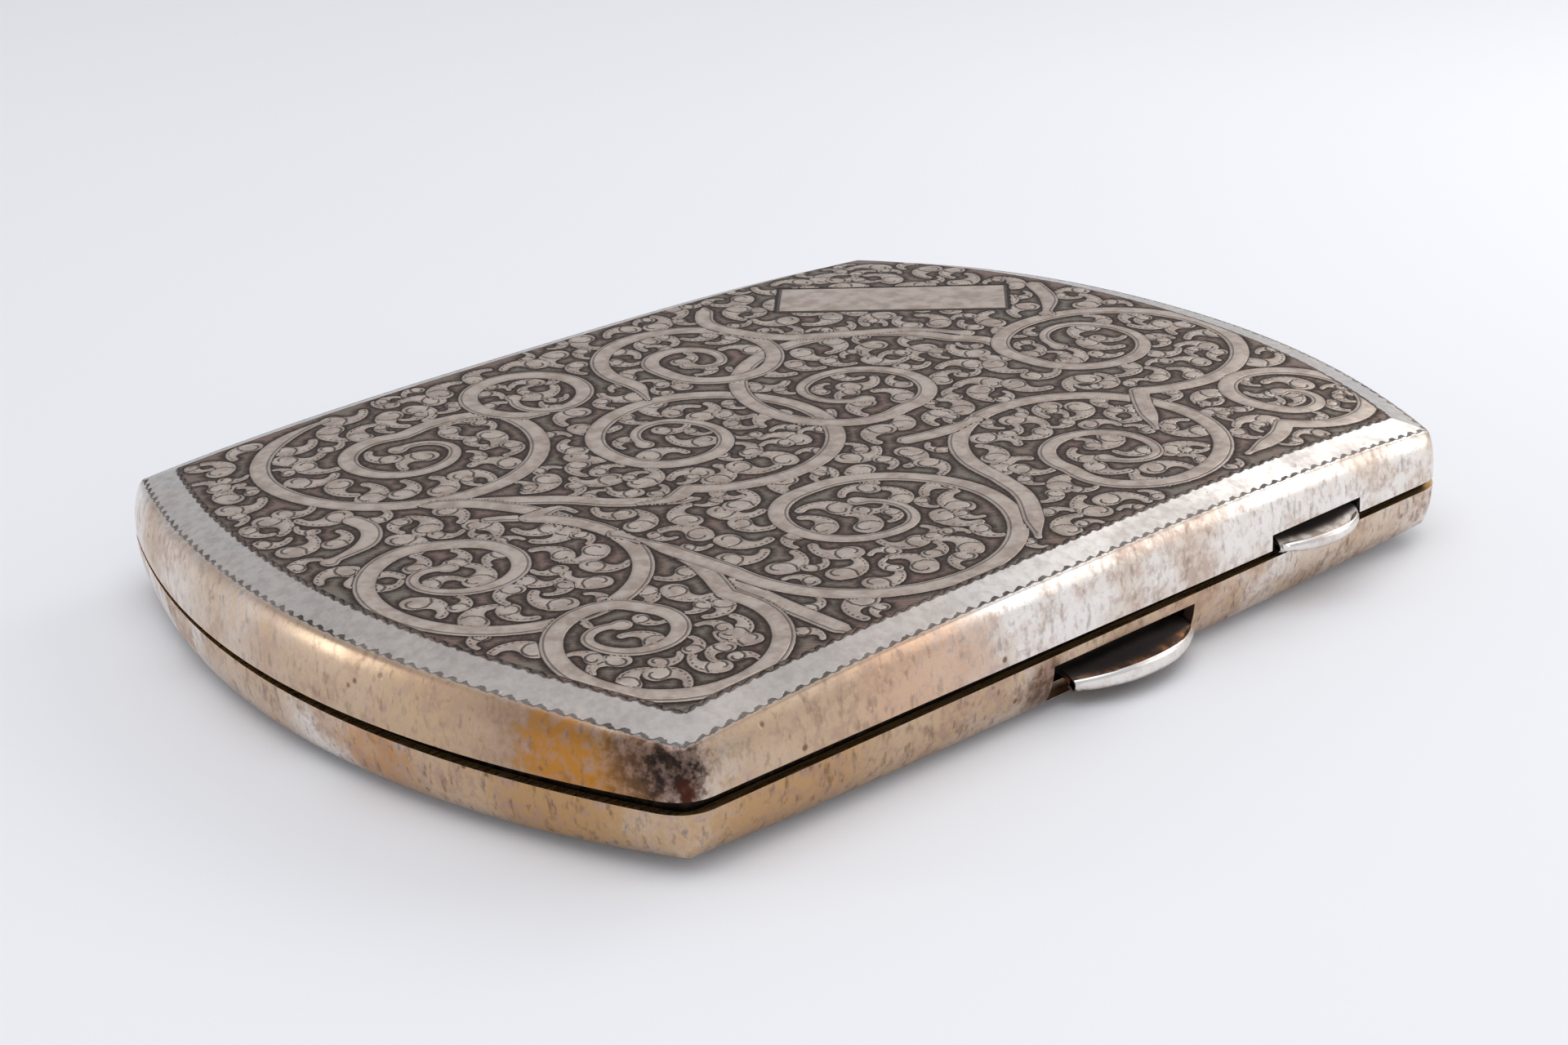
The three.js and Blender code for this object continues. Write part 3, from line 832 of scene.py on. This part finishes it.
def engraved_silver(name, stains_and_reflections, warmth):
    """Engraved field, plain band and rounded wall of one half shell."""
    graph = Graph(name)
    edge, stitch, rail, cut = (graph.attribute(key) for key in ("edge", "stitch", "rail", "cut"))
    inset, around = graph.attribute("inset"), graph.attribute("around")
    wall, clouds, grain, pitted = silver_tone(graph, stains_and_reflections, warmth)
    rough, height = silver_finish(graph, clouds, grain, pitted)
    fine = graph.noise(2.4, 4.0, 0.62)

    # Borders on both sides of the band: a thin line that swells into a small crescent
    # at every bite of the tool, some deeper than others.
    bite = graph.plus(graph.math("DIVIDE", around, 1.3), graph.times(grain, 0.5))
    beat = graph.math("FRACT", bite)
    wave = graph.math("MULTIPLY_ADD", graph.ease(beat, 0.0, 0.75), 0.26, -0.11)
    wave = graph.math("SUBTRACT", wave, graph.ease(beat, 0.75, 1.0, 0.0, 0.26))
    wave = graph.plus(wave, graph.math("MULTIPLY_ADD", fine, 0.3, -0.15))
    swelling = graph.times(graph.ease(beat, 0.1, 0.45), graph.ease(beat, 1.0, 0.7))
    depth = graph.times(swelling, graph.ease(grain, 0.3, 0.6, 0.35, 1.0))
    weight = graph.math("MULTIPLY_ADD", depth, 0.17, 0.02)
    wriggles = None
    for middle in (BAND_IN + 0.02, FIELD_IN - 0.42):
        off = graph.math("ABSOLUTE", graph.math("SUBTRACT", graph.math("SUBTRACT", inset, middle), wave))
        line = graph.ease(graph.math("SUBTRACT", off, weight), 0.09, -0.02)
        wriggles = line if wriggles is None else graph.either(wriggles, line)
    field = graph.ease(graph.math("SUBTRACT", inset, wave), FIELD_IN - 0.5, FIELD_IN - 0.36)
    band = graph.ease(inset, BAND_IN - 0.35, BAND_IN + 0.1)

    # Plain band, cooler and cleaner than the wall.
    band_tone = graph.blend(graph.ease(grain, 0.35, 0.7), BAND_TONES[0], BAND_TONES[1])
    colour = graph.blend(graph.times(band, 0.85), wall, band_tone)

    # Field: dark hatched ground with painted shade, darkest beside the strokes; pale scrolls and lobes,
    # with painted shade towards their edges.
    patches = graph.ease(graph.noise(0.13, 3.0, 0.6), 0.38, 0.64)
    x_y = graph.add("SeparateXYZ", {0: graph.place}).outputs
    lean = graph.plus(graph.times(x_y[0], 10.0), graph.times(x_y[1], 13.0))
    warp = graph.times(graph.noise(0.5, 2.0), 9.0)
    hatch = graph.ease(graph.math("SINE", graph.plus(lean, warp)), -0.6, 0.8)
    open_ground = graph.blend(patches, GROUND_AND_SHADE_TONES[0], GROUND_AND_SHADE_TONES[1])
    open_ground = graph.blend(graph.times(hatch, 0.30), open_ground, GROUND_AND_SHADE_TONES[2])
    # Painted shade on the ground, darkest right beside the raised strokes.
    near = graph.ease(graph.math("MULTIPLY_ADD", fine, -0.9, edge), 0.45, -0.35)
    ground = graph.blend(near, open_ground, GROUND_AND_SHADE_TONES[3])
    worn = graph.ease(graph.noise(0.7, 4.0, 0.6), 0.36, 0.68)
    pale = graph.blend(worn, SCROLL_AND_SHADE_TONES[0], SCROLL_AND_SHADE_TONES[1])
    # Painted shade: scrolls and lobes darken towards their edges so they look rounded.
    pale = graph.blend(graph.ease(edge, -0.45, -0.1, 0.0, 0.35), pale, SCROLL_AND_SHADE_TONES[2])
    on_scroll = graph.ease(edge, 0.05, -0.05)
    tone = graph.blend(on_scroll, ground, pale)

    # Cut lines: outlines, the rail along a scroll, stitches on a lobe, curls.
    sewn = graph.ease(graph.math("SINE", graph.times(stitch, 2 * math.pi / 0.48)), -0.3, 0.5)
    sewn = graph.times(sewn, graph.ease(stitch, 0.3, 0.8))
    inside = graph.ease(graph.math("ABSOLUTE", graph.plus(edge, 0.30)), 0.12, 0.04)
    inner = graph.times(inside, graph.either(sewn, graph.times(rail, 0.75)))
    outline = graph.ease(graph.math("ABSOLUTE", graph.math("SUBTRACT", edge, 0.05)), 0.14, 0.05)
    outline = graph.times(outline, graph.ease(fine, 0.25, 0.5, 0.45, 1.0))
    cuts = graph.either(graph.either(inner, outline), graph.ease(cut, 0.14, 0.04))
    tone = graph.blend(graph.times(cuts, 0.85), tone, CUT_TONE)
    colour = graph.blend(field, colour, tone)
    worn_line = graph.times(wriggles, graph.ease(clouds, 0.35, 0.6, 0.9, 0.6))
    colour = graph.blend(worn_line, colour, CUT_TONE)

    field_rough = graph.ease(fine, 0.3, 0.7, 0.46, 0.60)
    field_rough = graph.math("SUBTRACT", field_rough, graph.times(on_scroll, 0.10))
    rough = graph.plus(rough, graph.times(band, 0.08))
    rough = graph.add("Mix", {0: field, 2: rough, 3: field_rough}, data_type="FLOAT").outputs[0]
    rough = graph.math("MULTIPLY_ADD", wriggles, 0.2, rough)
    field_height = graph.math("MULTIPLY_ADD", hatch, 0.5, fine)
    off_scroll = graph.math("SUBTRACT", 1.1, on_scroll)
    field_height = graph.math("SUBTRACT", graph.times(field_height, off_scroll), graph.times(cuts, 1.6))
    height = graph.add("Mix", {0: field, 2: height, 3: field_height}, data_type="FLOAT").outputs[0]
    height = graph.math("SUBTRACT", height, graph.times(wriggles, 2.0))
    return graph.metal(colour, rough, graph.bump(height, 0.02))


def thumb_silver(name, pale, dark):
    """Bright lip, and a scoop behind it: tarnish, with painted shade deepening to near black towards the
    back of the pocket.
    """
    graph = Graph(name)
    colour, clouds, grain, pitted = silver_tone(graph, [], 0.1)
    rough, height = silver_finish(graph, clouds, grain, pitted)
    depth = graph.attribute("scoop")
    stain_and_painted_dark = graph.blend(graph.ease(graph.noise(0.9, 4.0, 0.6), 0.42, 0.66), dark, pale)
    # Painted shade: the scoop darkens to near black the deeper it goes into the pocket.
    stain_and_painted_dark = graph.blend(graph.ease(depth, 0.40, 0.70), stain_and_painted_dark, PAINTED_DARK)
    ragged = graph.math("MULTIPLY_ADD", grain, 0.35, depth)
    colour = graph.blend(graph.ease(ragged, 0.22, 0.42, 0.0, 0.95), colour, stain_and_painted_dark)
    rough = graph.math("MULTIPLY_ADD", depth, 0.2, rough)
    return graph.metal(colour, rough, graph.bump(height, 0.02))


def seam_shade_material(name):
    """Near-black painted shade for the rim under the lid, where it shows in the seam gap."""
    graph = Graph(name)
    grain = graph.noise(1.6, 4.0, 0.6)
    colour = graph.blend(graph.ease(grain, 0.4, 0.7), (0.018, 0.014, 0.012), (0.05, 0.038, 0.03))
    rough = graph.ease(grain, 0.3, 0.7, 0.5, 0.65)
    return graph.metal(colour, rough, graph.bump(grain, 0.01))


def gilt_metal(name):
    """Worn gilding on the lining and inner fittings."""
    graph = Graph(name)
    clouds = graph.noise(0.12, 4.0, 0.6)
    grain = graph.noise(2.2, 3.0, 0.6)
    brushed = graph.noise(2.4, 3.0, 0.55, graph.scaled(graph.place, (0.12, 2.0, 2.0)))
    colour = graph.blend(graph.ease(clouds, 0.35, 0.68), (0.78, 0.57, 0.27), (0.66, 0.47, 0.23))
    colour = graph.blend(graph.ease(grain, 0.55, 0.75, 0.0, 0.5), colour, (0.78, 0.70, 0.58))
    rough = graph.ease(brushed, 0.3, 0.7, 0.22, 0.38)
    return graph.metal(colour, rough, graph.bump(graph.plus(grain, brushed), 0.008))


def spring_steel(name):
    graph = Graph(name)
    grain = graph.noise(3.0, 3.0, 0.6)
    drawn = graph.noise(3.5, 2.0, 0.5, graph.scaled(graph.place, (0.1, 1.5, 1.5)))
    colour = graph.blend(graph.ease(grain, 0.4, 0.7), (0.33, 0.32, 0.32), (0.20, 0.17, 0.15))
    rough = graph.ease(drawn, 0.3, 0.7, 0.28, 0.46)
    return graph.metal(colour, rough, graph.bump(graph.plus(grain, drawn), 0.006))


# ---- Small parts --------------------------------------------------------------
def softened(node, body, slot, material, width=0.14):
    """A CAD solid with its hard edges eased, in place of the node."""
    thing = add_object(node + "_eased", frame["nodes"][node].data.copy())
    thing.data.materials.clear()
    weld = thing.modifiers.new("weld", "WELD")
    weld.merge_threshold = 0.00001
    bevel = thing.modifiers.new("bevel", "BEVEL")
    bevel.width = width * MM
    bevel.segments = 3
    bevel.limit_method = "ANGLE"
    bevel.angle_limit = math.radians(35)
    bake_modifiers(thing)
    thing.data.shade_smooth()
    thing.data.set_sharp_from_angle(angle=math.radians(38))
    return finish_piece(thing, body, [node], slot, material)


def lathed(name, profile, centre, facets=48):
    """Solid turned round an axis parallel to X; the profile holds (x, radius) pairs."""
    angles = np.linspace(0, 2 * math.pi, facets, endpoint=False)
    points, loops = [], []
    for x, radius in profile:
        circle = np.column_stack((np.full(facets, x), radius * np.cos(angles), radius * np.sin(angles)))
        loops.append(range(len(points) * facets, (len(points) + 1) * facets))
        points.append(circle + np.array((0, *centre)))
    faces = loop_faces(loops)
    return new_mesh(name, np.vstack(points), faces)


def round_corner(x, radius, side, size, steps=4):
    """Profile points that round one outer end of a turned part."""
    turns = np.linspace(0, math.pi / 2, steps + 1)
    return [(x - side * size * (1 - math.sin(a)), radius - size * (1 - math.cos(a))) for a in turns]


def thumb_section(catch, across, low):
    """Closed J section of a thumb piece: shelf, scoop and upright lip with a rolled top."""
    x = catch["middle"] + across * catch["width"] / 2
    bulge = 1 - abs(across) ** 2.3
    tip = -HALF_WIDTH - 0.12 - catch["proud"] * bulge
    height = catch["height"] * (0.72 + 0.28 * bulge)
    spine = [
        (-HALF_WIDTH + 2.05, low + 1.42),
        (-HALF_WIDTH + 1.2, low + 1.3),
        (-HALF_WIDTH + 0.45, low + 0.92),
        (tip * 0.5 + (-HALF_WIDTH + 0.5) * 0.5, low + 0.5),
        (tip + 0.55, low + 0.32),
        (tip + 0.26, low + 0.62),
        (tip + 0.27, low + height - 0.36),
    ]
    line = spline(spine, 0.16)
    count = len(line)
    tangent = np.gradient(line, axis=0)
    tangent /= np.hypot(*tangent.T)[:, None]
    normal = np.column_stack((-tangent[:, 1], tangent[:, 0]))
    half = 0.31 - 0.03 * np.linspace(0, 1, count)
    upper, lower = line - normal * half[:, None], line + normal * half[:, None]
    turns = np.linspace(0, math.pi, 9)[1:-1, None]
    cap = line[-1] + half[-1] * (np.cos(turns) * -normal[-1] + np.sin(turns) * tangent[-1] * 1.2)
    section = np.vstack((upper, cap, lower[::-1]))
    scoop = 1 - np.linspace(0, 1.0, count)
    scoop = np.concatenate((smooth(scoop / 0.85), np.zeros(len(cap)), smooth(scoop[::-1] / 0.85)))
    return np.column_stack((np.full(len(section), x), section, scoop))


THUMBS = {
    "base": {"middle": 3.0, "width": 13.8, "proud": 2.2, "height": 1.6},
    "lid": {"middle": 25.6, "width": 10.2, "proud": 2.0, "height": 1.3},
}


def thumb_mesh(name, catch, low, to_frame):
    """Thumb piece with a crescent lip; every section has as many points, so it lofts."""
    stations = np.sin(np.linspace(-math.pi / 2, math.pi / 2, 41))
    sections = [thumb_section(catch, across, low) for across in stations]
    shortest = min(len(section) for section in sections)
    resampled = []
    for section in sections:
        where = np.linspace(0, len(section) - 1, shortest)
        columns = [np.interp(where, range(len(section)), column) for column in section.T]
        resampled.append(np.column_stack(columns))
    points = np.vstack(resampled)
    loops = [range(start, start + shortest) for start in range(0, len(points), shortest)]
    faces = loop_faces(loops) + [list(loops[0])[::-1], list(loops[-1])]
    return new_mesh(name, to_frame(points[:, :3]), faces, {"scoop": points[:, 3]})


COIL_RADIUS, COIL_WIRE, COIL_TURNS = 0.82, 0.16, 6
COIL_END = 0.2  # room left at each end of a coil


def spring_coil(name, x0, x1):
    """Round-wire torsion spring on a pivot pin."""
    curve = bpy.data.curves.new(name, "CURVE")
    curve.dimensions = "3D"
    curve.bevel_depth = COIL_WIRE * MM
    curve.bevel_resolution = 3
    curve.use_fill_caps = True
    path = curve.splines.new("POLY")
    count = COIL_TURNS * 20 + 1
    path.points.add(count - 1)
    for i in range(count):
        share = i / (count - 1)
        angle = 2 * math.pi * COIL_TURNS * share
        x = x0 + (x1 - x0) * share
        y = PIVOT_Y + COIL_RADIUS * math.cos(angle)
        z = PIVOT_Z + COIL_RADIUS * math.sin(angle)
        path.points[i].co = (x * MM, y * MM, z * MM, 1)
    thing = add_object(name, curve)
    graph = bpy.context.evaluated_depsgraph_get()
    mesh = bpy.data.meshes.new_from_object(thing.evaluated_get(graph))
    bpy.data.objects.remove(thing)
    mesh.name = name
    return add_object(name, mesh)


# ---- Camera, light and floor --------------------------------------------------
def add_camera():
    """Three-quarter view over the near front corner; lengths in millimetres."""
    azimuth, elevation, roll = -0.725, 0.398, -0.028
    distance, shift_right, shift_up = 244.4, -0.41, -1.55
    level = math.cos(elevation)
    back = Vector((math.sin(azimuth) * level, -math.cos(azimuth) * level, math.sin(elevation)))
    right = Vector((0, 0, 1)).cross(back).normalized()
    up = back.cross(right)
    c, s = math.cos(roll), math.sin(roll)
    right, up = c * right + s * up, c * up - s * right
    data = bpy.data.cameras.new("camera")
    data.lens = 65.6
    data.sensor_width = 36
    data.clip_start = 0.01
    data.clip_end = 20
    camera = add_object("camera", data)
    place = Vector((0, 0, SEAM_Z)) + back * distance + right * shift_right + up * shift_up
    camera.location = place * MM
    turn = np.column_stack((right, up, back))
    camera.rotation_mode = "QUATERNION"
    camera.rotation_quaternion = Matrix(turn.tolist()).to_quaternion()
    bpy.context.scene.camera = camera


def add_light(name, place, aim, size, power, colour):
    """Rectangular soft light, in metres and watts."""
    data = bpy.data.lights.new(name, "AREA")
    data.shape = "RECTANGLE"
    data.size, data.size_y = size
    data.energy = power
    data.color = colour
    light = add_object(name, data)
    light.location = place
    light.rotation_mode = "QUATERNION"
    light.rotation_quaternion = (Vector(aim) - Vector(place)).to_track_quat("-Z", "Y")


def add_stage():
    """Pale floor, soft studio light."""
    size = 4.0
    mesh = bpy.data.meshes.new("floor")
    corners = [(-size, -size, 0), (size, -size, 0), (size, size, 0), (-size, size, 0)]
    mesh.from_pydata(corners, [], [(0, 1, 2, 3)])
    floor = add_object("floor", mesh)
    graph = Graph("floor_paper")
    mottle = graph.noise(0.004, 2.0, 0.5)
    colour = graph.blend(graph.ease(mottle, 0.3, 0.7), (0.86, 0.865, 0.885), (0.885, 0.89, 0.905))
    floor.data.materials.append(graph.metal(colour, 0.7, graph.bump(graph.noise(0.8), 0.01), 0.0))
    world = bpy.data.worlds.new("studio")
    bpy.context.scene.world = world
    world.use_nodes = True
    world.node_tree.nodes["Background"].inputs["Color"].default_value = (0.93, 0.945, 1.0, 1)
    world.node_tree.nodes["Background"].inputs["Strength"].default_value = 0.60
    add_light("window", (0.5, 0.0, 0.35), (0.2, 0.0, 0), (0.3, 0.3), 0.35, (1.0, 0.985, 0.96))
    add_light("overhead", (-0.15, -0.12, 0.6), (0, 0, 0), (0.6, 0.6), 1.55, (0.97, 0.98, 1.0))
    add_light("pool", (0.19, 0.01, 0.13), (0.15, 0.01, 0), (0.1, 0.1), 0.04, (1.0, 0.99, 0.97))
    add_light("right_box", (0.33, -0.28, 0.16), (0.03, -0.03, 0), (0.2, 0.24), 0.28, (1.0, 0.985, 0.965))
    add_light("left_box", (-0.5, 0.42, 0.16), (0, 0, 0), (0.12, 0.3), 0.35, (1.0, 0.98, 0.95))


# ---- Assembly -----------------------------------------------------------------
bpy.context.scene.view_settings.view_transform = "Standard"
add_camera()
add_stage()

lid_outer = engraved_silver("silver_lid", LID_STAINS_AND_DARK_REFLECTION, 0.5)
base_outer = engraved_silver("silver_base", BASE_STAINS, 0.85)
worn = plain_silver("silver_fittings", [], 0.5)
brown_thumb = thumb_silver("silver_thumb_base", (0.46, 0.20, 0.07), (0.09, 0.035, 0.018))
grey_thumb = thumb_silver("silver_thumb_lid", (0.46, 0.43, 0.40), (0.26, 0.20, 0.16))
black = seam_shade_material("seam_shade_black")
gilding = gilt_metal("gilt")
steel = spring_steel("steel")

lid = half_skin(LID, lid_to_frame, {
    "name": "lid_skin", "cartouche": True, "sprung": 0.3, "flip": False,
    "axis_z": HINGE_Z - SEAM_Z - LID_RIM,
}, lid_outer, gilding)
LID_LIP = 0.08 - LID_RIM - math.sin(LID_TILT) * 2 * HALF_WIDTH  # foot of its thumb piece, in its frame
WINDOW_FRONT = -HALF_WIDTH - 1
WINDOW_BACK = -HALF_WIDTH + 1.85
lid_window = ((19.6, WINDOW_FRONT, -1), (31, WINDOW_BACK, LID_LIP + 1.95))
cut_window(lid, *lid_window, lid_to_frame)
finish_piece(lid, "lid", ["lid_shell"], "silver_engraved")

base = half_skin(BASE, base_to_frame, {
    "name": "base_skin", "cartouche": False, "sprung": 0.0, "flip": True,
    "axis_z": SEAM_Z - HINGE_Z,
}, base_outer, gilding)
BASE_LIP = cad_box("base_thumbpiece")[0].z
base_window = ((-6.1, WINDOW_FRONT, BASE_LIP - 0.15), (10.1, WINDOW_BACK, SEAM_Z - 0.9))
cut_window(base, *base_window, lambda p: p)
finish_piece(base, "base", ["base_shell"], "silver_plain")

base_thumb = thumb_mesh("base_thumb", THUMBS["base"], BASE_LIP, lambda p: p)
finish_piece(base_thumb, "base_catch", ["base_thumbpiece"], "silver_plain", brown_thumb)
lid_thumb = thumb_mesh("lid_thumb", THUMBS["lid"], LID_LIP, lid_to_frame)
finish_piece(lid_thumb, "lid_catch", ["lid_thumbpiece"], "silver_plain", grey_thumb)

for catch in ("base_catch", "lid_catch"):
    softened(f"{catch}_strip", catch, "spring_steel", steel, 0.1)
for kind in ("base_catch_lug", "retainer_lug"):
    for side in ("left", "right"):
        softened(f"{kind}_{side}", "base", "gilt", gilding)
SEAM_SHADE_IN = 2.2  # how far in the covered rim is painted near-black as shade in the seam gap
# Bezel faces near the rim get the painted seam shade; those further in keep the gilding.
bezel = softened("base_bezel", "base", "gilt", black)
bezel.data.materials.append(gilding)
for face in bezel.data.polygons:
    x, y = face.center[0] / MM, face.center[1] / MM
    depth = min(end_x(y) - abs(x), (HALF_WIDTH - abs(y)) / 0.95)
    face.material_index = 0 if depth < SEAM_SHADE_IN else 1
for side in ("left", "right"):
    softened(f"lid_catch_lug_{side}", "lid", "gilt", gilding)
for node in ("retainer_bar", "retainer_arm_left", "retainer_arm_right"):
    softened(node, "retainer", "gilt", gilding)
for body in ("base", "lid"):
    softened(f"{body}_hinge_bearer", body, "silver_plain", worn)

for body, count in (("base", 3), ("lid", 2)):
    for i in range(1, count + 1):
        node = f"{body}_knuckle_{i}"
        low, high = cad_box(node)
        profile = [(high.x, KNUCKLE_BORE)]
        profile += round_corner(high.x, BARREL_RADIUS, 1, KNUCKLE_EASE)[::-1]
        profile += round_corner(low.x, BARREL_RADIUS, -1, KNUCKLE_EASE)
        profile += [(low.x, KNUCKLE_BORE), (high.x, KNUCKLE_BORE)]
        knuckle = lathed(node + "_turned", profile, (HINGE_Y, HINGE_Z))
        finish_piece(knuckle, body, [node], "silver_plain", worn)
softened("hinge_pin", "base", "spring_steel", steel, 0.08)
for side in ("left", "right"):
    softened(f"pin_cap_{side}", "base", "silver_plain", worn, 0.05)
    softened(f"retainer_pin_{side}", "base", "spring_steel", steel, 0.08)
    low, high = cad_box(f"retainer_spring_{side}")
    coil = spring_coil(f"retainer_coil_{side}", low.x + COIL_END, high.x - COIL_END)
    finish_piece(coil, "base", [f"retainer_spring_{side}"], "spring_steel", steel)

bpy.context.view_layer.update()
